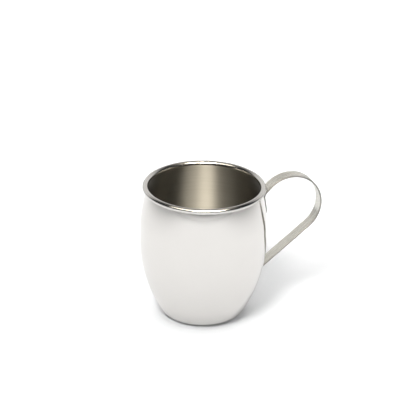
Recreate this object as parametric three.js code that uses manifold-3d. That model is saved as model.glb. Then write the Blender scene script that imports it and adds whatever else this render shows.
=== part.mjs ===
// A stainless steel mug: a single-wall barrel cup with a rolled rim, and a bent strap handle that is
// spot welded to the wall at both ends. Millimetres and degrees, +Z up. The cup's axis is Z, it stands
// on z = 0 and the handle points along +X.

import * as THREE from 'three';
import { mergeVertices } from 'three/addons/utils/BufferGeometryUtils.js';
import Module from 'manifold-3d';

// Barrel, measured on the outer face of the sheet
const sheetThickness = 0.7;
const lowerWallHeight = 55; // from the ground to the straight belly band
const bellyBandHeight = 10;
const neckHeight = 30; // from the belly band to the top of the rim
const bellyRadius = 43.3;
const lowerWallArc = 98; // radius of the wall's curve below the belly band
const shoulderArc = 60; // radius of the wall's curve above it
const shoulderLean = 7.2; // lean towards the axis at which the shoulder runs into the neck
const neckArc = 160; // radius of the neck's slower curve, up to the rim

// Base
const baseCorner = 9;
const footRingWidth = 3;
const panelRamp = 1.5; // radial width of the step between the foot ring and the base panel
const panelRecess = 0.5;

// Rolled rim
const beadDiameter = 3.8;
const curlSweep = 285; // how far the sheet is rolled outwards

// Strap handle
const strapWidth = 9;
const strapThickness = 1;
const strapEdge = 0.2; // chamfer along the strap's long edges
const fingerRoom = 40.1; // clear space between the belly and the far side of the loop
const upperSeatDrop = 14.5; // from the top of the rim to the upper end of the upper tab
const lowerSeatHeight = 27; // from the ground to the upper end of the lower tab
const armAngle = 45; // rise of the strap's short arm as it leaves the upper tab
const tabBend = 5; // bend between each tab and the loop, on the strap's centre line
const tabHeight = 12;
const tabCorner = 3;

// Seats and spot welds
const seatGap = 0.4; // between the wall and the tabs
const weldDiameter = 4;
const weldFit = 0.08; // left free on both faces of a weld
const weldInset = 3.5; // from the upper end of a tab to its first weld
const weldPitch = 5;

// Fineness of the facets
const facetDepth = 0.045; // furthest that a facet lies from its curve
const tabSteps = 6;
const weldSides = 24;

// Places that follow from the sizes above
const height = lowerWallHeight + bellyBandHeight + neckHeight;
const bellyTop = lowerWallHeight + bellyBandHeight;
const lowerArcCentre = bellyRadius - lowerWallArc;
const shoulderArcCentre = bellyRadius - shoulderArc;
const footOuter = lowerArcCentre + Math.sqrt(
  (lowerWallArc - baseCorner) ** 2 - (lowerWallHeight - baseCorner) ** 2,
);
const cornerEnd = degrees(Math.atan2(baseCorner - lowerWallHeight, footOuter - lowerArcCentre));
const footInner = footOuter - footRingWidth;
const panelRadius = footInner - panelRamp;
const beadRadius = beadDiameter / 2;
const curlInnerRadius = beadRadius - sheetThickness;
const neckStart = pointOnArc(shoulderArcCentre, bellyTop, shoulderArc, shoulderLean);
const neckArcCentre = pointOnArc(neckStart.x, neckStart.y, -neckArc, shoulderLean);
const curlCentre = findCurlCentre();
const rimLean = degrees(Math.asin((curlCentre.y - neckArcCentre.y) / (neckArc + curlInnerRadius)));

const polishedSteel = { color: 0xdedcd8, roughness: 0.08, metalness: 1 };
const satinSteel = { color: 0xc8c5be, roughness: 0.35, metalness: 1 };
const weldSteel = { color: 0x8e8a84, roughness: 0.6, metalness: 1 };

const wasm = await Module();
wasm.setup();

function radians(angle) {
  return THREE.MathUtils.degToRad(angle);
}

function degrees(angle) {
  return THREE.MathUtils.radToDeg(angle);
}

function pointOnArc(x, y, radius, angle) {
  return new THREE.Vector2(
    x + radius * Math.cos(radians(angle)),
    y + radius * Math.sin(radians(angle)),
  );
}

// Points along an arc from one angle to another, close enough that no facet lies deeper than facetDepth
function arcPoints(x, y, radius, from, to) {
  const widestStep = degrees(2 * Math.acos(1 - facetDepth / radius));
  const steps = Math.max(1, Math.ceil(Math.abs(to - from) / widestStep));
  const points = [];
  for (let i = 0; i <= steps; i++) {
    points.push(pointOnArc(x, y, radius, from + ((to - from) * i) / steps));
  }
  return points;
}

// Joins stretches of an outline, leaving out a point that repeats the one before it
function joinStretches(...stretches) {
  const repeatDistance = 1e-6;
  const isNew = (point, i, all) => i === 0 || point.distanceTo(all[i - 1]) > repeatDistance;
  return stretches.flat().filter(isNew);
}

// Centre of the rolled rim: the bead's top is the top of the mug, and the curl touches the neck's arc
function findCurlCentre() {
  const centreHeight = height - beadRadius;
  const reach = neckArc + curlInnerRadius;
  const rise = centreHeight - neckArcCentre.y;
  return new THREE.Vector2(neckArcCentre.x + Math.sqrt(reach ** 2 - rise ** 2), centreHeight);
}

// Radius and lean of an arc of the wall at a height
function arcAt(x, y, radius, z) {
  const lean = degrees(Math.asin((z - y) / radius));
  return { radius: pointOnArc(x, y, radius, lean).x, lean };
}

// Outer face of the wall at a height, and the angle by which its outward normal points up
function wallAt(z) {
  if (z >= neckStart.y) {
    return arcAt(neckArcCentre.x, neckArcCentre.y, neckArc, z);
  }
  if (z >= bellyTop) {
    return arcAt(shoulderArcCentre, bellyTop, shoulderArc, z);
  }
  if (z >= lowerWallHeight) {
    return { radius: bellyRadius, lean: 0 };
  }
  return arcAt(lowerArcCentre, lowerWallHeight, lowerWallArc, z);
}

// The point at a distance off the wall's outer face, square to it, from the wall's point at a height
function offWall(z, distance) {
  const { radius, lean } = wallAt(z);
  return pointOnArc(radius, z, distance, lean);
}

// One face of the bent sheet, from the middle of the base to the end of the curl. An inset of 0 is the
// face that shows outside the mug, and an inset of the sheet's thickness is its other face.
function sheetFace(inset) {
  const panel = [
    new THREE.Vector2(0, panelRecess + inset),
    new THREE.Vector2(panelRadius, panelRecess + inset),
    new THREE.Vector2(footInner, inset),
  ];
  const curlStart = 180 + rimLean;
  return joinStretches(
    panel,
    arcPoints(footOuter, baseCorner, baseCorner - inset, -90, cornerEnd),
    arcPoints(lowerArcCentre, lowerWallHeight, lowerWallArc - inset, cornerEnd, 0),
    arcPoints(shoulderArcCentre, bellyTop, shoulderArc - inset, 0, shoulderLean),
    arcPoints(neckArcCentre.x, neckArcCentre.y, neckArc - inset, shoulderLean, rimLean),
    arcPoints(curlCentre.x, curlCentre.y, curlInnerRadius + inset, curlStart, curlStart - curlSweep),
  );
}

// The drawn body: the sheet's closed profile turned about the axis
function makeBody() {
  const profile = [...sheetFace(0), ...sheetFace(sheetThickness).reverse()];
  const quarterSegments = Math.ceil(Math.PI / Math.acos(1 - facetDepth / bellyRadius) / 4);
  return new THREE.LatheGeometry(profile, 4 * quarterSegments).rotateX(Math.PI / 2);
}

// The strap's bends: a circle between each tab and the loop, and the large circle of the loop's crown
function findBends() {
  const bendOffset = seatGap + strapThickness / 2 + tabBend;
  const upperSeat = height - upperSeatDrop;
  const upper = offWall(upperSeat, bendOffset);
  const lower = offWall(lowerSeatHeight, bendOffset);

  // The crown touches the arm, the level of the rim and the strap's furthest reach
  const armEnd = pointOnArc(upper.x, upper.y, tabBend, 90 + armAngle);
  const reach = bellyRadius + fingerRoom + strapThickness / 2;
  const top = height - strapThickness / 2;
  const sine = Math.sin(radians(armAngle));
  const cosine = Math.cos(radians(armAngle));
  const across = (reach - armEnd.x) * sine - (top - armEnd.y) * cosine;
  const crownRadius = across / (1 + sine - cosine);
  const crown = new THREE.Vector2(reach - crownRadius, top - crownRadius);

  // The leg is the straight line that runs off the crown and on to the other side of the lower bend
  const span = lower.clone().sub(crown);
  const lineTurn = Math.asin((crownRadius + tabBend) / span.length());
  const legDirection = degrees(Math.atan2(span.y, span.x) - lineTurn);
  return { upper, upperSeat, lower, crown, crownRadius, legDirection };
}

// Heights from the end of a tab up to its seat
function tabHeights(seat) {
  return Array.from({ length: tabSteps + 1 }, (_, i) => seat - tabHeight * (1 - i / tabSteps));
}

// One face of the bent strap in the plane of the handle, from the end of the upper tab to the end of
// the lower one. A positive side is the outside of the loop.
function strapFace(bends, side) {
  const { upper, upperSeat, lower, crown, crownRadius, legDirection } = bends;
  const middle = seatGap + strapThickness / 2;
  const upperLean = wallAt(upperSeat).lean;
  const lowerLean = wallAt(lowerSeatHeight).lean;
  const upperTab = tabHeights(upperSeat).map((z) => offWall(z, middle - side));
  const lowerTab = tabHeights(lowerSeatHeight).map((z) => offWall(z, middle + side)).reverse();
  return joinStretches(
    upperTab,
    arcPoints(upper.x, upper.y, tabBend + side, 180 + upperLean, 90 + armAngle),
    arcPoints(crown.x, crown.y, crownRadius + side, 90 + armAngle, legDirection + 90),
    arcPoints(lower.x, lower.y, tabBend - side, legDirection - 90, lowerLean - 180),
    lowerTab,
  );
}

function toSolid(geometry) {
  const bare = geometry.clone();
  bare.deleteAttribute('normal');
  bare.deleteAttribute('uv');
  const merged = mergeVertices(bare);
  const vertProperties = new Float32Array(merged.attributes.position.array);
  const triVerts = new Uint32Array(merged.index.array);
  return new wasm.Manifold(new wasm.Mesh({ numProp: 3, vertProperties, triVerts }));
}

function toGeometry(solid) {
  const { vertProperties, triVerts } = solid.getMesh();
  const geometry = new THREE.BufferGeometry();
  geometry.setAttribute('position', new THREE.BufferAttribute(vertProperties, 3));
  geometry.setIndex(new THREE.BufferAttribute(triVerts, 1));
  geometry.computeVertexNormals();
  return geometry;
}

// Cuts both corners of a tab's end round. The cutter's outline lies flat on the tab, with its y axis
// along the strap towards the end.
function makeTabCutter(endHeight) {
  const half = strapWidth / 2;
  const margin = strapThickness;
  const outline = new THREE.Shape();
  outline.moveTo(-half - margin, -tabCorner);
  outline.lineTo(-half, -tabCorner);
  outline.absarc(-half + tabCorner, -tabCorner, tabCorner, Math.PI, Math.PI / 2, true);
  outline.absarc(half - tabCorner, -tabCorner, tabCorner, Math.PI / 2, 0, true);
  outline.lineTo(half + margin, -tabCorner);
  outline.lineTo(half + margin, margin);
  outline.lineTo(-half - margin, margin);

  const depth = 4 * strapThickness;
  const cutter = new THREE.ExtrudeGeometry(outline, { depth, bevelEnabled: false, curveSegments: 4 });
  const lean = radians(wallAt(endHeight).lean);
  const across = new THREE.Vector3(0, 1, 0);
  const along = new THREE.Vector3(Math.sin(lean), 0, -Math.cos(lean));
  const inwards = new THREE.Vector3().crossVectors(across, along);
  const place = offWall(endHeight, seatGap + strapThickness / 2 + depth / 2);
  const turn = new THREE.Matrix4().makeBasis(across, along, inwards).setPosition(place.x, 0, place.y);
  return cutter.applyMatrix4(turn);
}

// The strap: its side view extruded across its width, with the tab ends rounded
function makeStrap(bends) {
  const outside = strapFace(bends, strapThickness / 2);
  const inside = strapFace(bends, -strapThickness / 2);
  const sideView = new THREE.Shape([...outside, ...inside.reverse()]);
  const flatWidth = strapWidth - 2 * strapEdge;
  const strip = new THREE.ExtrudeGeometry(sideView, {
    depth: flatWidth,
    bevelThickness: strapEdge,
    bevelSize: strapEdge,
    bevelOffset: -strapEdge,
    bevelSegments: 1,
  });
  strip.translate(0, 0, -flatWidth / 2).rotateX(Math.PI / 2);
  const upperEnd = toSolid(makeTabCutter(bends.upperSeat - tabHeight));
  const lowerEnd = toSolid(makeTabCutter(lowerSeatHeight - tabHeight));
  return toGeometry(toSolid(strip).subtract(upperEnd).subtract(lowerEnd));
}

// A spot weld: a thin disc between the wall and a tab, square to the wall
function makeWeld(z) {
  const thickness = seatGap - 2 * weldFit;
  const disc = new THREE.CylinderGeometry(weldDiameter / 2, weldDiameter / 2, thickness, weldSides);
  const place = offWall(z, seatGap / 2);
  disc.rotateZ(-Math.PI / 2).rotateY(-radians(wallAt(z).lean));
  return disc.translate(place.x, 0, place.y);
}

function makeMesh(name, geometry, finish) {
  const mesh = new THREE.Mesh(geometry, new THREE.MeshStandardMaterial(finish));
  mesh.name = name;
  return mesh;
}

// The two welds of one tab, from the top down
function makeWeldPair(name, seat) {
  const pair = new THREE.Group();
  for (const [i, label] of ['top', 'bottom'].entries()) {
    const weld = makeWeld(seat - weldInset - i * weldPitch);
    pair.add(makeMesh(`${name}_${label}`, weld, weldSteel));
  }
  return pair;
}

const bends = findBends();
const handle = new THREE.Group();
handle.add(
  makeMesh('handle_strap', makeStrap(bends), satinSteel),
  makeWeldPair('upper_spot_weld', bends.upperSeat),
  makeWeldPair('lower_spot_weld', lowerSeatHeight),
);

const mug = new THREE.Group();
mug.add(makeMesh('mug_body', makeBody(), polishedSteel), handle);

export default mug;
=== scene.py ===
"""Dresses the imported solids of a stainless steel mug: a turned body, polished outside and brushed inside,
with a buffed rim, and a satin strap handle. Everything is in metres, in the frame of the solids."""

import math

import bpy
import numpy as np
from mathutils import Matrix, Vector


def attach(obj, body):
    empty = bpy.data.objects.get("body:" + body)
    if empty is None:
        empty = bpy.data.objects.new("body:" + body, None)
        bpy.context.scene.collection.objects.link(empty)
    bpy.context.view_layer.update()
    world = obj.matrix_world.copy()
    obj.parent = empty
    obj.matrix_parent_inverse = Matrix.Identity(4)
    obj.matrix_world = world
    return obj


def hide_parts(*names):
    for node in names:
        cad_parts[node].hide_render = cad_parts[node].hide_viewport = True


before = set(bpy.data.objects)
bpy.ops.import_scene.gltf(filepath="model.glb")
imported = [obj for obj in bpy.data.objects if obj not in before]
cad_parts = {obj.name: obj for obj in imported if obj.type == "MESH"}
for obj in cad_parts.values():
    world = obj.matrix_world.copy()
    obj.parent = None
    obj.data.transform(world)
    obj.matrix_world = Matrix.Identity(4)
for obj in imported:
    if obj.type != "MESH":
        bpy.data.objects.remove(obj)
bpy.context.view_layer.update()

bl_info = {
    "name": "Stainless steel mug",
    "version": (1, 0, 0),
    "blender": (4, 5, 0),
    "location": "3D View > Sidebar > Mug",
    "description": "Builds a barrel mug of polished steel with a strap handle, and a plain studio for it",
    "category": "Add Mesh",
}

MM = 0.001
BODY_SEGMENTS = 256
FLOOR_SEGMENTS = 64
# Points on each stretch of the body's profile, and of the strap's centre line and section
BODY_POINTS = {
    "panel": 8,
    "ramp": 17,
    "ring": 3,
    "corner": 22,
    "lower": 50,
    "band": 4,
    "shoulder": 14,
    "neck": 16,
    "curl": 48,
    "lip": 10,
}
STRAP_POINTS = {
    "end": 6,
    "corner": 14,
    "tab": 40,
    "bend": 14,
    "arm": 3,
    "crown": 120,
    "leg": 40,
    "edge": 6,
    "flat": 17,
}
# Radii of the floor's rings, and how far the lamps stand from the mug, in metres
FLOOR_RINGS = (0.3, 1.0, 3.0, 8.0)
LAMP_DISTANCE = 2.5
# Places of the body's three finishes in its list of materials
POLISHED, BRUSHED, RIM = range(3)
# Cosine from which a point of the strap's section counts as part of its rounded edge
ROUND_START = 0.01
# Share of the strap's half width at which an extra row keeps the shading of its flat even
FLAT_SUPPORT = 0.98
# Distance in metres from a tip of the strap at which its rounding starts, so that no face there is a line
TIP = 1e-6
# Scales of the noise patterns, about as many features in a metre
CLOUDS, BUFFING_LINES = 60.0, 2600.0
BRUSH_LINES, BRUSH_BANDS = 5200.0, 900.0
GRIND_LINES, GRIND_BANDS = 6000.0, 1500.0
SHEAR_MARKS = 3000.0
WELD_MOTTLE, WELD_PITS = 1800.0, 6000.0
# Factors on coordinates round the axis and along the strap, which draw a pattern out to lines
ROUND_STRETCH, STRAP_STRETCH = 0.012, 0.02
# How far marks change the roughness up and down, and the turn of a highlight square to the marks
ROUGHNESS_SPREAD = 0.06
QUARTER_TURN = 0.25
# Dark tint of the brushed steel at grazing angles: painted shade, which dims the light thrown from wall to
# wall inside the cup
PAINTED_GRAZING_SHADE = (0.1, 0.1, 0.1, 1.0)
# How fast the glow at the horizon fades to the sides
HORIZON_FALL = 1.5
WELD_NODES = (
    "upper_spot_weld_top",
    "upper_spot_weld_bottom",
    "lower_spot_weld_top",
    "lower_spot_weld_bottom",
)


def length(name, description, millimetres):
    """A length that a user can change, written in millimetres and kept in metres."""
    return bpy.props.FloatProperty(
        name=name,
        description=description,
        default=millimetres * MM,
        precision=5,
        unit="LENGTH",
    )


def angle(name, description, degrees):
    """An angle that a user can change, written in degrees."""
    return bpy.props.FloatProperty(
        name=name,
        description=description,
        default=math.radians(degrees),
        unit="ROTATION",
        subtype="ANGLE",
    )


def colour(name, description, value):
    """A linear colour that a user can change."""
    return bpy.props.FloatVectorProperty(
        name=name,
        description=description,
        default=value,
        size=3,
        min=0.0,
        max=1.0,
        subtype="COLOR",
    )


def share(name, description, value, highest=1.0):
    """A plain number from 0 up to a highest value."""
    return bpy.props.FloatProperty(
        name=name,
        description=description,
        default=value,
        min=0.0,
        max=highest,
        subtype="FACTOR",
    )


class MugBodySizes(bpy.types.PropertyGroup):
    """Sizes of the drawn body, on the outer face of its sheet."""

    sheet: length("Sheet", "Thickness of the steel sheet", 0.7)
    lower_wall: length("Lower wall", "Height from the ground to the belly band", 55)
    belly_band: length("Belly band", "Height of the straight band at the belly", 10)
    neck: length("Neck", "Height from the belly band to the top of the rim", 30)
    belly_radius: length("Belly radius", "Radius of the widest part", 43.3)
    lower_arc: length("Lower arc", "Radius of the wall's curve below the band", 98)
    shoulder_arc: length("Shoulder arc", "Radius of the wall's curve above the band", 60)
    shoulder_lean: angle("Shoulder lean", "Lean at which the shoulder runs into the neck", 7.2)
    neck_arc: length("Neck arc", "Radius of the neck's slower curve, up to the rim", 160)
    base_corner: length("Base corner", "Radius between the wall and the base", 9)
    foot_ring: length("Foot ring", "Width of the flat ring that the mug stands on", 3)
    panel_ramp: length("Panel ramp", "Width of the step from ring to base panel", 1.5)
    panel_recess: length("Panel recess", "Height of the base panel off the ground", 0.5)
    bead: length("Bead", "Diameter of the rolled rim", 3.8)
    curl_sweep: angle("Curl sweep", "How far the rim is rolled outwards", 285)


class HandleSizes(bpy.types.PropertyGroup):
    """Sizes of the bent strap and of its seats on the wall."""

    width: length("Width", "Width of the strap", 9)
    thickness: length("Thickness", "Thickness of the strap", 1)
    edge: length("Edge", "Rounding of the strap's long edges", 0.25)
    finger_room: length("Finger room", "Space between belly and loop", 40.1)
    upper_seat_drop: length("Upper seat", "From the rim's top to the upper tab", 14.5)
    lower_seat: length("Lower seat", "From the ground to the lower tab's top", 27)
    arm_angle: angle("Arm angle", "Rise of the strap off the upper tab", 45)
    tab_bend: length("Tab bend", "Bend between a tab and the loop", 5)
    tab_height: length("Tab height", "Height of each tab on the wall", 12)
    tab_corner: length("Tab corner", "Corner radius of a tab's end", 3)
    seat_gap: length("Seat gap", "Gap between the wall and the tabs", 0.4)
    weld_inset: length("Weld inset", "From a tab's top to its first weld", 3.5)
    weld_pitch: length("Weld pitch", "Between the two welds of a tab", 5)
    mark_diameter: length("Mark diameter", "Width of a weld's dimple", 4)
    mark_depth: length("Mark depth", "Depth of a weld's dimple", 0.15)


class SteelFinish(bpy.types.PropertyGroup):
    """Colours and gloss of the steel."""

    polished: colour("Polished", "Colour of the mirror-polished outside", (0.755, 0.737, 0.713))
    polished_roughness: share("Polish", "Roughness of the polished outside", 0.05)
    rim: colour("Rim", "Colour of the buffed rim", (0.68, 0.664, 0.642))
    rim_roughness: share("Rim roughness", "Roughness of the buffed rim", 0.2)
    # The brushed colour is painted darker than the steel is, as painted shade inside the cup
    brushed: colour("Brushed", "Colour of the brushed inside", (0.32, 0.307, 0.281))
    brushed_roughness: share("Brushing", "Roughness of the brushed inside", 0.6)
    satin: colour("Satin", "Colour of the satin handle", (0.70, 0.685, 0.64))
    satin_roughness: share("Satin roughness", "Roughness of the handle", 0.27)
    # The edge colour is partly the dull sheared steel and partly painted shade on the strap's thin edges
    edge: colour("Edge", "Colour of the strap's sheared edges", (0.29, 0.28, 0.262))
    edge_roughness: share("Edge roughness", "Roughness of those edges", 0.45)
    weld: colour("Weld", "Colour of the fused steel of the welds", (0.30, 0.28, 0.26))


class StudioSettings(bpy.types.PropertyGroup):
    """Floor, light and camera of the plain studio. Directions turn with the camera's azimuth."""

    floor: colour("Floor", "Colour of the paper floor", (0.78, 0.78, 0.78))
    floor_exposure: share("Floor exposure", "How much brighter the camera sees the floor", 1.13, 4.0)
    floor_lift: share("Floor lift", "Light added to the floor where it shows, to make it white", 0.2)
    # The lift is held off near the foot, which paints a shade on the floor round the base
    floor_contact: length("Floor contact", "Distance from the axis at which that light starts", 24)
    floor_clear: length("Floor clear", "Distance from the axis at which that light is full", 38)
    # Painted light on the floor as steel shows it: a lit strip, painted dim beside it and painted as bright
    # as the horizon far in front
    floor_dim: colour("Dim floor", "Colour beside the lit floor, where steel shows it", (0.47, 0.47, 0.47))
    floor_side: length("Floor side", "Half the width of the lit floor beside the mug", 610)
    floor_back: length("Floor back", "Half the width of the lit floor far behind the mug", 250)
    floor_spread: share("Floor spread", "How fast the lit floor widens on each side to the front", 0.8, 2.0)
    floor_core: share("Floor core", "Share of that width at which the floor starts to fade", 0.25)
    floor_edge: share("Floor edge", "Share of that width at which the floor is dim", 1.6, 4.0)
    floor_near: length("Floor near", "Distance in front at which the floor starts to change", 500)
    floor_far: length("Floor far", "Distance in front at which it is as bright as the horizon", 4500)
    floor_end: colour("Floor end", "Colour of the floor there, where steel shows it", (0.77, 0.77, 0.77))
    horizon: colour("Horizon", "Colour of the room at the horizon in front", (0.895, 0.895, 0.895))
    horizon_top: angle("Horizon top", "Height over the horizon at which the room is dark", 4.2)
    room: colour("Room", "Colour of the dark room over the horizon", (0.013, 0.016, 0.019))
    backdrop: colour("Backdrop", "Colour of the pale backdrop behind the mug", (0.85, 0.84, 0.82))
    backdrop_top: angle("Backdrop top", "Height over the horizon of the backdrop's upper edge", 40)
    backdrop_side: angle("Backdrop side", "Angle from the middle of the backdrop to its sides", 62)
    backdrop_fade: angle("Backdrop fade", "Half the width of the fade at its edges", 15)
    window: colour("Window", "Colour of the lamps that the steel shows", (1.0, 0.935, 0.80))
    window_low: angle("Window low", "Height of the windows' lower edge over the horizon", 42)
    window_high: angle("Window high", "Height of the windows' upper edge over the horizon", 61)
    main_strength: share("Main strength", "Brightness of the main window", 39.5, 50.0)
    main_right: angle("Main right", "Angle of the main window to the right of the camera", -5)
    main_half: angle("Main half", "Half the width of the main window", 10.8)
    side_strength: share("Side strength", "Brightness of the window to the right", 14.0, 50.0)
    side_right: angle("Side right", "Angle of that window to the right of the camera", 30)
    side_half: angle("Side half", "Half the width of that window", 10)
    glow_strength: share("Glow strength", "Brightness of the dim window to the left", 3.7, 50.0)
    glow_right: angle("Glow right", "Angle of that window to the right of the camera", -50)
    glow_half: angle("Glow half", "Half the width of that window", 14)
    ceiling_strength: share("Ceiling strength", "Brightness of the panel overhead", 0.5, 50.0)
    ceiling_half: angle("Ceiling half", "Half the width of the panel overhead", 25)
    fill: share("Fill", "Strength of the wide light overhead", 1.85, 10.0)
    fill_size: angle("Fill size", "Angle across the wide light overhead", 150)
    key: share("Key", "Strength of the key light", 1.9, 10.0)
    key_size: angle("Key size", "Angle across the key light", 18)
    key_elevation: angle("Key elevation", "Height of the key light over the horizon", 50)
    key_left: angle("Key left", "Angle of the key light to the left of the camera", 21)
    focal_length: bpy.props.FloatProperty(
        name="Focal length", description="Focal length in millimetres", default=250.4
    )
    distance: length("Distance", "From the camera to the middle of the mug", 2000)
    azimuth: angle("Azimuth", "Turn of the camera round the mug", -19.6)
    elevation: angle("Elevation", "Height of the camera over the horizon", 25.56)
    roll: angle("Roll", "Roll of the camera", 1.09)
    aim_right: length("Aim right", "From the mug's middle to the picture's, sideways", 4.72)
    aim_up: length("Aim up", "From the mug's middle to the picture's, upwards", 25.92)


def arc(centre, radius, start, end, count):
    """Points on a circle: centre + radius (cos a, sin a), with a in even steps from start to end."""
    a = np.linspace(start, end, count)
    return np.column_stack((centre[0] + radius * np.cos(a), centre[1] + radius * np.sin(a)))


def on_circle(centre, radius, a):
    """The one point centre + radius (cos a, sin a)."""
    return arc(centre, radius, a, a, 1)[0]


def straight(start, end, count):
    """Points in even steps on a line, both ends left out because the neighbouring arcs have them."""
    share_along = np.linspace(0.0, 1.0, count + 2)[1:-1, None]
    return np.asarray(start) * (1.0 - share_along) + np.asarray(end) * share_along


class Barrel:
    """The outer face of the wall in the plane of the axis: tangent arcs and lines from base to rim."""

    def __init__(self, sizes):
        self.sizes = sizes
        self.band_low = sizes.lower_wall
        self.band_high = sizes.lower_wall + sizes.belly_band
        self.height = self.band_high + sizes.neck
        self.lower_centre = (sizes.belly_radius - sizes.lower_arc, self.band_low)
        self.shoulder_centre = (sizes.belly_radius - sizes.shoulder_arc, self.band_high)
        drop = self.band_low - sizes.base_corner
        reach = math.sqrt((sizes.lower_arc - sizes.base_corner) ** 2 - drop**2)
        self.foot_outer = self.lower_centre[0] + reach
        self.corner_end = math.atan2(-drop, reach)
        self.bead_radius = sizes.bead / 2
        self.curl_inner = self.bead_radius - sizes.sheet
        lean = sizes.shoulder_lean
        neck_start = on_circle(self.shoulder_centre, sizes.shoulder_arc, lean)
        self.neck_low = neck_start[1]
        self.neck_centre = on_circle(neck_start, -sizes.neck_arc, lean)
        rise = self.height - self.bead_radius - self.neck_centre[1]
        curl_reach = sizes.neck_arc + self.curl_inner
        self.rim_lean = math.asin(rise / curl_reach)
        self.curl_centre = on_circle(self.neck_centre, curl_reach, self.rim_lean)
        self.curl_start = math.pi + self.rim_lean
        self.curl_end = self.curl_start - sizes.curl_sweep

    def at(self, z):
        """Radius and lean of the wall at heights z: the neck's circle, the shoulder's, the straight band or
        the lower circle, whichever holds that height. The lean's sine is the height over the circle's middle
        by its radius."""
        z = np.asarray(z, float)
        s = self.sizes
        centre = np.where(z < self.neck_low, self.shoulder_centre[1], self.neck_centre[1])
        across = np.where(z < self.neck_low, self.shoulder_centre[0], self.neck_centre[0])
        reach = np.where(z < self.neck_low, s.shoulder_arc, s.neck_arc)
        below = z < self.band_low
        centre = np.where(below, self.lower_centre[1], centre)
        across = np.where(below, self.lower_centre[0], across)
        reach = np.where(below, s.lower_arc, reach)
        rise = np.where((z > self.band_low) & (z < self.band_high), 0.0, z - centre)
        lean = np.arcsin(rise / reach)
        return across + reach * np.cos(lean), lean

    def off(self, z, distance):
        """Points at a distance off the outer face, square to it."""
        radius, lean = self.at(z)
        return np.stack((radius + distance * np.cos(lean), z + distance * np.sin(lean)), axis=-1)

    def face(self, inset):
        """One face of the sheet from the middle of the base to the end of the curl, as a list of
        stretches. The panel's step is half a cosine wave, and the rest is tangent arcs and lines."""
        s = self.sizes
        foot_inner = self.foot_outer - s.foot_ring
        panel = foot_inner - s.panel_ramp
        flat = s.panel_recess + inset
        count = BODY_POINTS
        ramp = np.linspace(0.0, 1.0, count["ramp"])
        step = s.panel_recess * (1.0 + np.cos(np.pi * ramp)) / 2
        corner = (self.foot_outer, s.base_corner)
        lower = arc(self.lower_centre, s.lower_arc - inset, self.corner_end, 0.0, count["lower"])
        shoulder = arc(self.shoulder_centre, s.shoulder_arc - inset, 0.0, s.shoulder_lean, count["shoulder"])
        neck = arc(self.neck_centre, s.neck_arc - inset, s.shoulder_lean, self.rim_lean, count["neck"])
        return [
            straight((0.0, flat), (panel, flat), count["panel"]),
            np.column_stack((panel + s.panel_ramp * ramp, step + inset)),
            straight((foot_inner, inset), (self.foot_outer, inset), count["ring"]),
            arc(corner, s.base_corner - inset, -math.pi / 2, self.corner_end, count["corner"]),
            lower[1:],
            straight(lower[-1], shoulder[0], count["band"]),
            shoulder,
            neck[1:-1],
            arc(self.curl_centre, self.curl_inner + inset, self.curl_start, self.curl_end, count["curl"]),
        ]


def smooth_mesh(name, points, quads, triangles, finish_of_face, materials):
    """A smooth-shaded mesh object at the origin, from arrays of points, quads and triangles."""
    loops = np.concatenate((quads.ravel(), triangles.ravel())).astype(np.int32)
    sizes = np.concatenate((np.full(len(quads), 4), np.full(len(triangles), 3)))
    starts = np.concatenate(([0], np.cumsum(sizes)[:-1]))
    mesh = bpy.data.meshes.new(name)
    mesh.vertices.add(len(points))
    mesh.vertices.foreach_set("co", points.astype(np.float32).ravel())
    mesh.loops.add(len(loops))
    mesh.loops.foreach_set("vertex_index", loops)
    mesh.polygons.add(len(sizes))
    mesh.polygons.foreach_set("loop_start", starts.astype(np.int32))
    for material in materials:
        mesh.materials.append(material)
    mesh.polygons.foreach_set("material_index", finish_of_face.astype(np.int32))
    mesh.polygons.foreach_set("use_smooth", np.ones(len(sizes), bool))
    mesh.update(calc_edges=True)
    if mesh.validate():
        raise RuntimeError(f"the mesh of {name} had faults")
    piece = bpy.data.objects.new(name, mesh)
    bpy.context.scene.collection.objects.link(piece)
    return piece


def turned_surface(profile, segments):
    """A profile (r, z) turned about Z: (r cos t, r sin t, z) on a grid of profile points and angles t. The
    profile runs from the axis to the axis, and each of its ends closes on one point there."""
    t = np.arange(segments) * (2 * math.pi / segments)
    r, z = profile[:, :1], profile[:, 1:]
    grid = np.stack((r * np.cos(t), r * np.sin(t), np.broadcast_to(z, (len(profile), segments))), axis=-1)
    poles = np.array([[0.0, 0.0, profile[0, 1]], [0.0, 0.0, profile[-1, 1]]])
    points = np.concatenate((grid.reshape(-1, 3), poles))
    index = np.arange(len(profile) * segments).reshape(len(profile), segments)
    turned = np.roll(index, -1, axis=1)
    quads = np.stack((index[:-1], turned[:-1], turned[1:], index[1:]), axis=-1).reshape(-1, 4)
    first_pole, last_pole = len(points) - 2, len(points) - 1
    low = np.stack((np.full(segments, first_pole), turned[0], index[0]), axis=-1)
    high = np.stack((np.full(segments, last_pole), index[-1], turned[-1]), axis=-1)
    return points, quads, np.concatenate((low, high))


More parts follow.
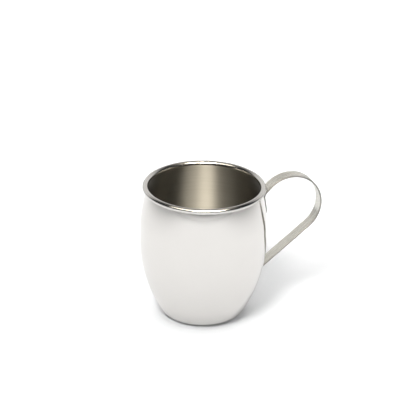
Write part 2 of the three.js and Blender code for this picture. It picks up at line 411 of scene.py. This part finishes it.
def build_body(sizes, finishes):
    """The drawn body: the sheet's outer face, the half-round lip at the end of its curl and the inner face,
    turned about Z. The outer face is polished, the lip and the bead are buffed, and the inner face is
    brushed up to the start of the curl."""
    barrel = Barrel(sizes)
    outside = np.concatenate(barrel.face(0.0))
    *wall_inside, bead = barrel.face(sizes.sheet)
    wall_inside = np.concatenate(wall_inside)
    curl_end = barrel.curl_end
    half_sheet = sizes.sheet / 2
    lip_centre = on_circle(barrel.curl_centre, barrel.curl_inner + half_sheet, curl_end)
    lip = arc(lip_centre, half_sheet, curl_end - math.pi, curl_end - 2 * math.pi, BODY_POINTS["lip"])[1:-1]
    profile = np.concatenate((outside, lip, bead[::-1], wall_inside[::-1]))
    points, quads, triangles = turned_surface(profile, BODY_SEGMENTS)
    finish_of_strip = np.full(len(profile) - 1, RIM)
    finish_of_strip[: len(outside) - 1] = POLISHED
    finish_of_strip[len(outside) + len(lip) + len(bead) - 1 :] = BRUSHED
    finish_of_face = np.concatenate((
        np.repeat(finish_of_strip, BODY_SEGMENTS),
        np.full(BODY_SEGMENTS, POLISHED),
        np.full(BODY_SEGMENTS, BRUSHED),
    ))
    return smooth_mesh("polished_body", points, quads, triangles, finish_of_face, finishes)


class StrapLine:
    """The strap's centre line in the plane of the handle: up the upper tab, round the loop, down the lower
    tab. Rows hold the point, the unit normal towards the outside of the loop, and the distance run."""

    def __init__(self, body, sizes):
        self.sizes = sizes
        self.barrel = barrel = Barrel(body)
        self.middle = sizes.seat_gap + sizes.thickness / 2
        self.upper_seat = barrel.height - sizes.upper_seat_drop
        upper = barrel.off(self.upper_seat, self.middle + sizes.tab_bend)
        lower = barrel.off(sizes.lower_seat, self.middle + sizes.tab_bend)
        sine, cosine = math.sin(sizes.arm_angle), math.cos(sizes.arm_angle)
        arm_end = upper + sizes.tab_bend * np.array((-sine, cosine))
        reach = body.belly_radius + sizes.finger_room + sizes.thickness / 2
        top = barrel.height - sizes.thickness / 2
        crown_radius = ((reach - arm_end[0]) * sine - (top - arm_end[1]) * cosine) / (1 + sine - cosine)
        crown = np.array((reach - crown_radius, top - crown_radius))
        span = lower - crown
        turn = math.asin((crown_radius + sizes.tab_bend) / np.hypot(*span))
        leg = math.atan2(span[1], span[0]) - turn
        square = math.pi / 2
        crown_start, crown_end = square + sizes.arm_angle, square + leg
        upper_start = math.pi + float(barrel.at(self.upper_seat)[1])
        lower_end = float(barrel.at(sizes.lower_seat)[1]) - math.pi
        count = STRAP_POINTS

        down = self.tab_distances()
        upper_z = self.upper_seat - sizes.tab_height + down
        lower_z = sizes.lower_seat - sizes.tab_height + down[::-1]
        upper_tab = barrel.off(upper_z, self.middle), self.wall_normal(upper_z, -1.0)
        upper_bend = self.bend(upper, sizes.tab_bend, upper_start, crown_start, count["bend"], 1.0)
        crown_bend = self.bend(crown, crown_radius, crown_start, crown_end, count["crown"], 1.0)
        lower_bend = self.bend(lower, sizes.tab_bend, leg - square, lower_end, count["bend"], -1.0)
        lower_tab = barrel.off(lower_z, self.middle), self.wall_normal(lower_z, 1.0)
        stretches = [
            [rows[:-1] for rows in upper_tab],
            upper_bend,
            self.between(upper_bend, crown_bend, count["arm"]),
            crown_bend,
            self.between(crown_bend, lower_bend, count["leg"]),
            lower_bend,
            [rows[1:] for rows in lower_tab],
        ]
        self.points = np.concatenate([points for points, normals in stretches])
        self.normals = np.concatenate([normals for points, normals in stretches])
        steps = np.linalg.norm(np.diff(self.points, axis=0), axis=1)
        self.run = np.concatenate(([0.0], np.cumsum(steps)))

    def tab_distances(self):
        """Heights above a tab's end: close together at the end, for its rounded rim and corners."""
        s = self.sizes
        count = STRAP_POINTS
        end = s.edge * (1.0 - np.cos(np.linspace(0.0, math.pi / 2, count["end"])))
        first = math.acos(1.0 - s.edge / s.tab_corner)
        corner = s.tab_corner * (1.0 - np.cos(np.linspace(first, math.pi / 2, count["corner"])))
        plain = np.linspace(s.tab_corner, s.tab_height, count["tab"])
        return np.concatenate((end, corner[1:], plain[1:]))

    def wall_normal(self, z, way):
        """The wall's unit normals at heights z, away from the axis, or towards it for way -1."""
        lean = self.barrel.at(z)[1]
        return way * np.column_stack((np.cos(lean), np.sin(lean)))

    @staticmethod
    def bend(centre, radius, start, end, count, way):
        """An arc of the centre line. Its normal points away from the centre, or towards it for way -1."""
        points = arc(centre, radius, start, end, count)
        return points, way * (points - centre) / radius

    @staticmethod
    def between(before, after, count):
        """The straight stretch between two bends that it runs into without a kink."""
        points = straight(before[0][-1], after[0][0], count)
        return points, np.repeat(before[1][-1:], count, axis=0)

    def welds(self):
        """Centre-line points of the welds, the upper tab's and then the lower tab's."""
        s = self.sizes
        drop = s.weld_inset + s.weld_pitch * np.arange(2)
        upper = self.barrel.off(self.upper_seat - drop, self.middle)
        lower = self.barrel.off(s.lower_seat - drop, self.middle)
        return upper, lower


def half_section(edge_points, flat_points):
    """The upper half of the strap's rounded section, from its left edge to its right edge. Each point has
    an edge cosine and sine, which the edge's radius multiplies, and a place from -1 to 1 on the flat."""
    a = np.linspace(0.0, math.pi / 2, edge_points)
    flat = np.linspace(-1.0, 1.0, flat_points)
    flat = np.sort(np.concatenate((flat[1:-1], (-FLAT_SUPPORT, FLAT_SUPPORT))))
    left = np.column_stack((-np.cos(a), np.sin(a), np.full(edge_points, -1.0)))
    top = np.column_stack((np.zeros(len(flat)), np.ones(len(flat)), flat))
    right = np.column_stack((np.cos(a[::-1]), np.sin(a[::-1]), np.full(edge_points, 1.0)))
    return np.concatenate((left, top, right))


def quarter_round(distance, radius):
    """How far a rounded end has come out at a distance d from its tip: the root of r^2 - (r - d)^2, which is
    0 at the tip and the radius r from one radius on."""
    d = np.clip(distance, 0.0, radius)
    return np.sqrt(np.maximum(radius**2 - (radius - d) ** 2, 0.0))


def build_strap(body, sizes, finishes):
    """The strap: a rounded rectangle carried along the centre line. It narrows by quarter circles at the
    tab ends, and each weld leaves a dimple depth (1 - q^2)^2, with q the distance over the mark's radius. The
    faces of the rounded edges and of the two tips have the edge's finish."""
    line = StrapLine(body, sizes)
    from_end = np.maximum(np.minimum(line.run, line.run[-1] - line.run), TIP)
    half_width = sizes.width / 2 - sizes.tab_corner + quarter_round(from_end, sizes.tab_corner)
    half_depth = sizes.thickness / 2 - sizes.edge + quarter_round(from_end, sizes.edge)
    half = half_section(STRAP_POINTS["edge"], STRAP_POINTS["flat"])
    flat_half = half_width - sizes.edge
    across = flat_half[:, None] * half[:, 2] + sizes.edge * half[:, 0]
    depth = (half_depth - sizes.edge)[:, None] + sizes.edge * half[:, 1]
    y = np.concatenate((across, across[:, ::-1]), axis=1)
    offset = np.concatenate((depth, -depth[:, ::-1]), axis=1)

    mark = sizes.mark_diameter / 2
    upper, lower = line.welds()
    for welds, side in ((upper, -1.0), (lower, 1.0)):
        for weld in welds:
            along = np.linalg.norm(line.points - weld, axis=1)[:, None]
            q2 = (along**2 + y**2) / mark**2
            dimple = sizes.mark_depth * np.maximum(1.0 - q2, 0.0) ** 2
            offset = offset - side * np.where(offset * side > 0.0, dimple, 0.0)

    place = line.points[:, None, :] + offset[..., None] * line.normals[:, None, :]
    grid = np.stack((place[..., 0], y, place[..., 1]), axis=-1)
    rows, columns = y.shape
    index = np.arange(rows * columns).reshape(rows, columns)
    turned = np.roll(index, -1, axis=1)
    sides = np.stack((index[:-1], index[1:], turned[1:], turned[:-1]), axis=-1).reshape(-1, 4)
    i = np.arange(columns // 2 - 1)
    pairs = np.stack((i, i + 1, columns - 2 - i, columns - 1 - i), axis=-1)
    quads = np.concatenate((sides, index[0][pairs], index[-1][pairs[:, ::-1]]))
    round_point = np.abs(np.concatenate((half[:, 0], half[::-1, 0]))) > ROUND_START
    edge_face = round_point & np.roll(round_point, -1)
    finish_of_face = np.concatenate((np.tile(edge_face, rows - 1), np.ones(2 * len(pairs), bool)))
    piece = smooth_mesh(
        "satin_strap",
        grid.reshape(-1, 3),
        quads,
        np.zeros((0, 3), int),
        finish_of_face,
        finishes,
    )
    run = np.broadcast_to(line.run[:, None], y.shape)
    uv = np.stack((run, y), axis=-1).reshape(-1, 2)
    vertex = np.zeros(len(piece.data.loops), np.int32)
    piece.data.loops.foreach_get("vertex_index", vertex)
    layer = piece.data.uv_layers.new(name="strap_run")
    layer.data.foreach_set("uv", uv[vertex].astype(np.float32).ravel())
    return piece


class Nodes:
    """A short way to lay out a shader: make a node, set its sockets, link its inputs."""

    def __init__(self, tree):
        self.tree = tree
        tree.nodes.clear()

    def add(self, kind, inputs=None, **settings):
        """A new node of a kind. Each input is a value, or another node's socket to link."""
        node = self.tree.nodes.new(kind)
        for name, value in settings.items():
            setattr(node, name, value)
        for name, value in (inputs or {}).items():
            if isinstance(value, bpy.types.NodeSocket):
                self.tree.links.new(value, node.inputs[name])
            else:
                node.inputs[name].default_value = value
        return node

    def math(self, operation, first, second=0.0, third=0.0):
        """The result of an operation on up to three numbers."""
        node = self.add("ShaderNodeMath", {0: first, 1: second, 2: third}, operation=operation)
        return node.outputs[0]

    def product(self, first, *others):
        """All the values multiplied."""
        for other in others:
            first = self.math("MULTIPLY", first, other)
        return first

    def rest(self, value):
        """What a value from 0 to 1 leaves of 1."""
        return self.math("SUBTRACT", 1.0, value)

    def spread(self, value, low, high):
        """A value from 0 to 1, moved to the range from low to high."""
        node = self.add("ShaderNodeMapRange", {"Value": value, "To Min": low, "To Max": high})
        return node.outputs["Result"]

    def around(self, value, middle, reach=ROUGHNESS_SPREAD):
        """A value from 0 to 1, moved to the range of a reach to both sides of a middle."""
        return self.spread(value, middle - reach, middle + reach)

    def ramp(self, value, low, high):
        """0 at the low value and 1 at the high one, with a smooth rise between."""
        node = self.add(
            "ShaderNodeMapRange",
            {"Value": value, "From Min": low, "From Max": high},
            interpolation_type="SMOOTHSTEP",
        )
        return node.outputs["Result"]

    def band(self, value, low, high, fade):
        """1 between the low and the high value and 0 outside, with a smooth fade at both."""
        return self.product(
            self.ramp(value, low - fade, low + fade),
            self.ramp(value, high + fade, high - fade),
        )

    def mix(self, factor, first, second):
        """A colour between two colours, each a socket or three numbers."""
        pair = [c if isinstance(c, bpy.types.NodeSocket) else (*c, 1.0) for c in (first, second)]
        node = self.add("ShaderNodeMix", {0: factor, 6: pair[0], 7: pair[1]}, data_type="RGBA")
        return node.outputs[2]

    def dot(self, vector, direction):
        """How far a vector runs along a unit direction."""
        node = self.add("ShaderNodeVectorMath", {0: vector, 1: direction}, operation="DOT_PRODUCT")
        return node.outputs["Value"]

    def size(self, vector):
        """The length of a vector."""
        node = self.add("ShaderNodeVectorMath", {0: vector}, operation="LENGTH")
        return node.outputs["Value"]

    def noise(self, vector, scale, detail=2.0, roughness=0.5):
        """Smooth noise from 0 to 1 at a place, with finer layers by its detail and roughness."""
        node = self.add(
            "ShaderNodeTexNoise",
            {"Vector": vector, "Scale": scale, "Detail": detail, "Roughness": roughness},
        )
        return node.outputs["Fac"]

    def tinted(self, value, tint, reach):
        """The tint made lighter and darker: its colour times 1 less or more a reach."""
        factor = self.around(value, 1.0, reach)
        node = self.add("ShaderNodeVectorMath", {0: tuple(tint), "Scale": factor}, operation="SCALE")
        return node.outputs[0]

    def relief(self, height, strength, depth):
        """The surface's normal, tilted by a pattern of heights with a depth in metres."""
        sockets = {"Height": height, "Strength": strength, "Distance": depth}
        return self.add("ShaderNodeBump", sockets).outputs["Normal"]

    def steel(self, sockets):
        """Ends the layout in one metallic shader."""
        shader = self.add("ShaderNodeBsdfPrincipled", {"Metallic": 1.0, **sockets})
        self.add("ShaderNodeOutputMaterial", {"Surface": shader.outputs["BSDF"]})


def new_material(name):
    """An empty material and the layout of its nodes."""
    material = bpy.data.materials.new(name)
    material.use_nodes = True
    return material, Nodes(material.node_tree)


def round_streaks(nodes):
    """Coordinates for lines that run round the axis: x and y drawn out, and the wall's run z + r packed."""
    place = nodes.add("ShaderNodeTexCoord").outputs["Object"]
    parts = nodes.add("ShaderNodeSeparateXYZ", {"Vector": place}).outputs
    level = nodes.add("ShaderNodeCombineXYZ", {"X": parts["X"], "Y": parts["Y"]}).outputs["Vector"]
    streaks = {
        "X": nodes.product(parts["X"], ROUND_STRETCH),
        "Y": nodes.product(parts["Y"], ROUND_STRETCH),
        "Z": nodes.math("ADD", parts["Z"], nodes.size(level)),
    }
    return nodes.add("ShaderNodeCombineXYZ", streaks).outputs["Vector"]


def ground_lines(nodes, place, line_scale, band_scale, line_share):
    """Marks of a belt or brush: fine lines and broad bands, added up by the share of the lines."""
    lines = nodes.noise(place, line_scale, detail=3.0, roughness=0.65)
    bands = nodes.noise(place, band_scale)
    return nodes.math("ADD", nodes.product(lines, line_share), nodes.product(bands, 1.0 - line_share))


def polished_steel(name, tint, roughness):
    """Polished steel with the faint uneven gloss and hair lines that buffing leaves."""
    material, nodes = new_material(name)
    place = nodes.add("ShaderNodeTexCoord").outputs["Object"]
    cloud = nodes.noise(place, CLOUDS, detail=3.0)
    hair = nodes.noise(round_streaks(nodes), BUFFING_LINES, detail=3.0, roughness=0.6)
    gloss = nodes.math("ADD", nodes.around(cloud, 0.0, reach=0.02), nodes.around(hair, 0.0, reach=0.015))
    nodes.steel({
        "Base Color": nodes.tinted(cloud, tint, reach=0.015),
        "Roughness": nodes.math("ADD", gloss, roughness),
        "Normal": nodes.relief(hair, strength=0.02, depth=0.02 * MM),
    })
    return material


def brushed_steel(finish):
    """Steel brushed round the axis: fine lines in colour, gloss and relief, with a stretched highlight."""
    material, nodes = new_material("brushed_steel")
    marks = ground_lines(nodes, round_streaks(nodes), BRUSH_LINES, BRUSH_BANDS, line_share=0.65)
    tangent = nodes.add("ShaderNodeTangent", direction_type="RADIAL", axis="Z").outputs["Tangent"]
    # Painted shade: dark colour and dark grazing tint, for the shade inside the cup
    nodes.steel({
        "Base Color": nodes.tinted(marks, finish.brushed, reach=0.2),
        "Roughness": nodes.around(marks, finish.brushed_roughness),
        "Specular Tint": PAINTED_GRAZING_SHADE,
        "Anisotropic": 1.0,
        "Anisotropic Rotation": QUARTER_TURN,
        "Normal": nodes.relief(marks, strength=0.25, depth=0.03 * MM),
        "Tangent": tangent,
    })
    return material


def strap_place(nodes):
    """The strap's own coordinates: the distance run along it, and the place across it."""
    return nodes.add("ShaderNodeUVMap", uv_map="strap_run").outputs["UV"]


def satin_steel(finish):
    """Steel strip ground along its run: hair lines that follow the strap, in colour, gloss and relief."""
    material, nodes = new_material("satin_steel")
    drawn_out = {"Vector": strap_place(nodes), "Scale": (STRAP_STRETCH, 1.0, 1.0)}
    stretched = nodes.add("ShaderNodeMapping", drawn_out, vector_type="POINT").outputs["Vector"]
    marks = ground_lines(nodes, stretched, GRIND_LINES, GRIND_BANDS, line_share=0.6)
    tangent = nodes.add("ShaderNodeTangent", direction_type="UV_MAP", uv_map="strap_run").outputs["Tangent"]
    nodes.steel({
        "Base Color": nodes.tinted(marks, finish.satin, reach=0.15),
        "Roughness": nodes.around(marks, finish.satin_roughness),
        "Anisotropic": 0.6,
        "Anisotropic Rotation": QUARTER_TURN,
        "Normal": nodes.relief(marks, strength=0.2, depth=0.03 * MM),
        "Tangent": tangent,
    })
    return material


def edge_steel_and_shade(finish):
    """The strip's sheared edge: dull steel with short marks, its colour also painted dark as shade on the
    strap's thin edges.
    """
    material, nodes = new_material("edge_steel_and_shade")
    marks = nodes.noise(strap_place(nodes), SHEAR_MARKS, detail=3.0)
    nodes.steel({
        "Base Color": nodes.tinted(marks, finish.edge, reach=0.2),
        "Roughness": nodes.around(marks, finish.edge_roughness),
        "Normal": nodes.relief(marks, strength=0.2, depth=0.03 * MM),
    })
    return material


def weld_steel(finish):
    """Fused steel: dull and mottled, with small pits."""
    material, nodes = new_material("weld_steel")
    place = nodes.add("ShaderNodeTexCoord").outputs["Object"]
    mottle = nodes.noise(place, WELD_MOTTLE, detail=4.0)
    pits = nodes.noise(place, WELD_PITS)
    nodes.steel({
        "Base Color": nodes.tinted(mottle, finish.weld, reach=0.4),
        "Roughness": nodes.spread(mottle, low=0.45, high=0.7),
        "Normal": nodes.relief(pits, strength=0.4, depth=0.05 * MM),
    })
    return material


def toward(azimuth, elevation):
    """The unit direction from the mug to a point at an azimuth and elevation, as the camera's are given."""
    level = math.cos(elevation)
    return Vector((math.sin(azimuth) * level, -math.cos(azimuth) * level, math.sin(elevation)))


def build_floor(studio):
    """A flat round floor: rings (r cos t, r sin t, 0) about the mug, closed in the middle."""
    segments = FLOOR_SEGMENTS
    radius = np.array(FLOOR_RINGS)
    t = np.arange(segments) * (2 * math.pi / segments)
    flat = np.zeros((len(radius), segments))
    grid = np.stack((np.outer(radius, np.cos(t)), np.outer(radius, np.sin(t)), flat), axis=-1)
    points = np.concatenate((grid.reshape(-1, 3), np.zeros((1, 3))))
    index = np.arange(len(radius) * segments).reshape(len(radius), segments)
    turned = np.roll(index, -1, axis=1)
    quads = np.stack((index[:-1], index[1:], turned[1:], turned[:-1]), axis=-1).reshape(-1, 4)
    middle = np.stack((np.full(segments, len(points) - 1), index[0], turned[0]), axis=-1)
    finish_of_face = np.zeros(len(quads) + len(middle))
    return smooth_mesh("floor", points, quads, middle, finish_of_face, [floor_paper(studio)])


def floor_paper(studio):
    """Pale matt paper, lifted so that it shows white where no shadow falls, but not near the foot, where the
    missing lift paints a shade round the base. Steel shows a pool of light painted on the paper: a lit strip
    that widens to the front by a share of the distance, painted dim to both sides of that, and painted as
    bright as the horizon far in front."""
    material, nodes = new_material("floor_paper")
    path = nodes.add("ShaderNodeLightPath").outputs
    is_camera = path["Is Camera Ray"]
    place = nodes.add("ShaderNodeTexCoord").outputs["Object"]
    side = nodes.math("ABSOLUTE", nodes.dot(place, toward(studio.azimuth + math.pi / 2, 0.0)))
    ahead = nodes.dot(place, toward(studio.azimuth, 0.0))
    width = nodes.math("MULTIPLY_ADD", ahead, studio.floor_spread, studio.floor_side)
    reach = nodes.math("DIVIDE", side, nodes.math("MAXIMUM", width, studio.floor_back))
    # Painted light: where steel sees the floor, its colour is a lit strip, painted dim beside it and far in
    # front
    lit = nodes.math("MAXIMUM", nodes.ramp(reach, studio.floor_edge, studio.floor_core), is_camera)
    far = nodes.product(nodes.ramp(ahead, studio.floor_near, studio.floor_far), nodes.rest(is_camera))
    shown = nodes.mix(lit, studio.floor_dim, nodes.mix(far, studio.floor, studio.floor_end))
    exposed = Vector(studio.floor) * studio.floor_exposure
    paper = nodes.add("ShaderNodeBsdfDiffuse", {"Color": nodes.mix(is_camera, shown, exposed)})
    seen = nodes.math("MAXIMUM", is_camera, path["Is Glossy Ray"])
    # Painted shade: the lift fades out near the foot, so the floor round the base is painted darker
    clear = nodes.ramp(nodes.size(place), studio.floor_contact, studio.floor_clear)
    strength = nodes.product(seen, lit, clear, nodes.rest(far), studio.floor_lift)
    lift = nodes.add("ShaderNodeEmission", {"Strength": strength})
    both = nodes.add("ShaderNodeAddShader", {0: paper.outputs[0], 1: lift.outputs[0]})
    nodes.add("ShaderNodeOutputMaterial", {"Surface": both.outputs[0]})
    material.cycles.emission_sampling = "NONE"
    return material


def build_world(studio):
    """White to the camera. Everything else sees a dark room with a pale glow along the horizon in front and
    a pale backdrop behind. Both depend on the ray's rise over the horizon. The glow also fades by a power of
    the cosine to the front, and the backdrop by the turn from its middle."""
    world = bpy.data.worlds.new("studio")
    world.use_nodes = True
    bpy.context.scene.world = world
    nodes = Nodes(world.node_tree)
    ray = nodes.add("ShaderNodeTexCoord").outputs["Generated"]
    front = nodes.dot(ray, toward(studio.azimuth, 0.0))
    side = nodes.dot(ray, toward(studio.azimuth + math.pi / 2, 0.0))
    rise = nodes.math("ARCSINE", nodes.add("ShaderNodeSeparateXYZ", {"Vector": ray}).outputs["Z"])
    turn = nodes.math("ARCTAN2", side, nodes.product(front, -1.0))
    fade = studio.backdrop_fade
    backdrop = nodes.product(
        nodes.ramp(rise, studio.backdrop_top + fade, studio.backdrop_top - fade),
        nodes.band(turn, -studio.backdrop_side, studio.backdrop_side, fade),
    )
    glow = nodes.product(
        nodes.ramp(rise, studio.horizon_top, 0.0),
        nodes.math("POWER", nodes.math("MAXIMUM", front, 0.0), HORIZON_FALL),
    )
    room = nodes.mix(glow, studio.room, studio.horizon)
    room = nodes.mix(backdrop, room, studio.backdrop)
    is_camera = nodes.add("ShaderNodeLightPath").outputs["Is Camera Ray"]
    seen = nodes.mix(is_camera, room, (1.0, 1.0, 1.0))
    background = nodes.add("ShaderNodeBackground", {"Color": seen, "Strength": 1.0})
    nodes.add("ShaderNodeOutputWorld", {"Surface": background.outputs[0]})


def place_lamp(light, azimuth, elevation):
    """A lamp at its distance from the mug, turned to it and hidden from the camera."""
    lamp = bpy.data.objects.new(light.name, light)
    direction = toward(azimuth, elevation)
    lamp.location = direction * LAMP_DISTANCE
    lamp.rotation_euler = direction.to_track_quat("Z", "Y").to_euler()
    lamp.visible_camera = False
    bpy.context.scene.collection.objects.link(lamp)
    return lamp


def build_sun(name, strength, size, azimuth, elevation):
    """A distant lamp for the floor, which the steel doesn't show. Only shadow rays look for it, because the
    floor's own rays pass through the steel."""
    light = bpy.data.lights.new(name, "SUN")
    light.energy = strength
    light.angle = size
    light.cycles.use_multiple_importance_sampling = False
    place_lamp(light, azimuth, elevation).visible_glossy = False


def build_window(name, studio, strength, azimuth, elevation, half_width, half_height):
    """A rectangular lamp that only the steel shows: its power is the brightness times pi times its area."""
    light = bpy.data.lights.new(name, "AREA")
    light.shape = "RECTANGLE"
    light.size = 2 * LAMP_DISTANCE * math.tan(half_width)
    light.size_y = 2 * LAMP_DISTANCE * math.tan(half_height)
    light.energy = strength * math.pi * light.size * light.size_y
    light.color = studio.window
    place_lamp(light, azimuth, elevation).visible_diffuse = False


def light_studio(studio):
    """Two suns for the floor, three windows in front for the steel, and a panel over it."""
    front = studio.azimuth
    overhead = math.pi / 2
    build_sun("fill", studio.fill, studio.fill_size, front, overhead)
    build_sun("key", studio.key, studio.key_size, front - studio.key_left, studio.key_elevation)
    middle = (studio.window_low + studio.window_high) / 2
    half_height = (studio.window_high - studio.window_low) / 2
    for name in ("main", "side", "glow"):
        strength = getattr(studio, f"{name}_strength")
        azimuth = front + getattr(studio, f"{name}_right")
        half = getattr(studio, f"{name}_half")
        build_window(f"{name}_window", studio, strength, azimuth, middle, half, half_height)
    half = studio.ceiling_half
    build_window("ceiling", studio, studio.ceiling_strength, front, overhead, half, half)


def place_camera(studio, body):
    """A camera on a sphere round the mug's middle, aimed a little off it and rolled about its own axis."""
    roll = studio.roll
    back = toward(studio.azimuth, studio.elevation)
    right = Vector((math.cos(studio.azimuth), math.sin(studio.azimuth), 0.0))
    up = back.cross(right)
    rolled_right = right * math.cos(roll) + up * math.sin(roll)
    rolled_up = up * math.cos(roll) - right * math.sin(roll)
    height = body.lower_wall + body.belly_band + body.neck
    middle = Vector((0.0, 0.0, height / 2))
    place = middle + back * studio.distance
    aim = middle + rolled_right * studio.aim_right + rolled_up * studio.aim_up
    backward = (place - aim).normalized()
    side = rolled_up.cross(backward).normalized()
    upward = backward.cross(side)
    data = bpy.data.cameras.new("camera")
    data.lens = studio.focal_length
    data.sensor_width = 36.0
    data.clip_start = 0.05
    data.clip_end = 100.0
    camera = bpy.data.objects.new("camera", data)
    turn = Matrix((side, upward, backward)).transposed().to_4x4()
    camera.matrix_world = Matrix.Translation(place) @ turn
    bpy.context.scene.collection.objects.link(camera)
    return camera


def keep_glints_off(piece):
    """Hides a piece from the floor's own rays, so that it throws no bright curves of light on the floor."""
    piece.visible_diffuse = False


class MUG_OT_body(bpy.types.Operator):
    """Builds the drawn body with its rolled rim"""

    bl_idname = "mug.body"
    bl_label = "Mug body"

    def execute(self, context):
        scene = context.scene
        finish = scene.mug_finish
        finishes = [
            polished_steel("polished_steel", finish.polished, finish.polished_roughness),
            brushed_steel(finish),
            polished_steel("buffed_rim", finish.rim, finish.rim_roughness),
        ]
        body = build_body(scene.mug_body, finishes)
        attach(body, "root")
        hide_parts("mug_body")
        keep_glints_off(body)
        return {"FINISHED"}


class MUG_OT_handle(bpy.types.Operator):
    """Builds the bent strap handle"""

    bl_idname = "mug.handle"
    bl_label = "Strap handle"

    def execute(self, context):
        scene = context.scene
        finishes = [satin_steel(scene.mug_finish), edge_steel_and_shade(scene.mug_finish)]
        strap = build_strap(scene.mug_body, scene.mug_handle, finishes)
        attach(strap, "root")
        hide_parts("handle_strap")
        keep_glints_off(strap)
        return {"FINISHED"}


class MUG_OT_welds(bpy.types.Operator):
    """Gives the four spot welds between tabs and wall their finish"""

    bl_idname = "mug.welds"
    bl_label = "Spot welds"

    def execute(self, context):
        material = weld_steel(context.scene.mug_finish)
        for name in WELD_NODES:
            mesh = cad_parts[name].data
            mesh.materials.clear()
            mesh.materials.append(material)
        return {"FINISHED"}


class MUG_OT_studio(bpy.types.Operator):
    """Builds the floor, the light and the camera"""

    bl_idname = "mug.studio"
    bl_label = "Plain studio"

    def execute(self, context):
        scene = context.scene
        studio = scene.mug_studio
        build_floor(studio)
        build_world(studio)
        light_studio(studio)
        scene.camera = place_camera(studio, scene.mug_body)
        scene.view_settings.view_transform = "Standard"
        return {"FINISHED"}


class MUG_PT_panel(bpy.types.Panel):
    """Lists the steps that build the mug"""

    bl_idname = "MUG_PT_panel"
    bl_label = "Stainless steel mug"
    bl_space_type = "VIEW_3D"
    bl_region_type = "UI"
    bl_category = "Mug"

    def draw(self, context):
        for operator in OPERATORS:
            self.layout.operator(operator.bl_idname)


OPERATORS = (MUG_OT_body, MUG_OT_handle, MUG_OT_welds, MUG_OT_studio)
GROUPS = {
    "mug_body": MugBodySizes,
    "mug_handle": HandleSizes,
    "mug_finish": SteelFinish,
    "mug_studio": StudioSettings,
}


def register():
    """Makes the settings, the operators and the panel known to Blender."""
    for group in GROUPS.values():
        bpy.utils.register_class(group)
    for name, group in GROUPS.items():
        setattr(bpy.types.Scene, name, bpy.props.PointerProperty(type=group))
    for cls in (*OPERATORS, MUG_PT_panel):
        bpy.utils.register_class(cls)


def unregister():
    """Takes back what register made known."""
    for cls in (MUG_PT_panel, *reversed(OPERATORS)):
        bpy.utils.unregister_class(cls)
    for name in GROUPS:
        delattr(bpy.types.Scene, name)
    for group in GROUPS.values():
        bpy.utils.unregister_class(group)


def main():
    """Builds the mug and its studio."""
    register()
    bpy.ops.mug.body()
    bpy.ops.mug.handle()
    bpy.ops.mug.welds()
    bpy.ops.mug.studio()


if __name__ == "__main__":
    main()
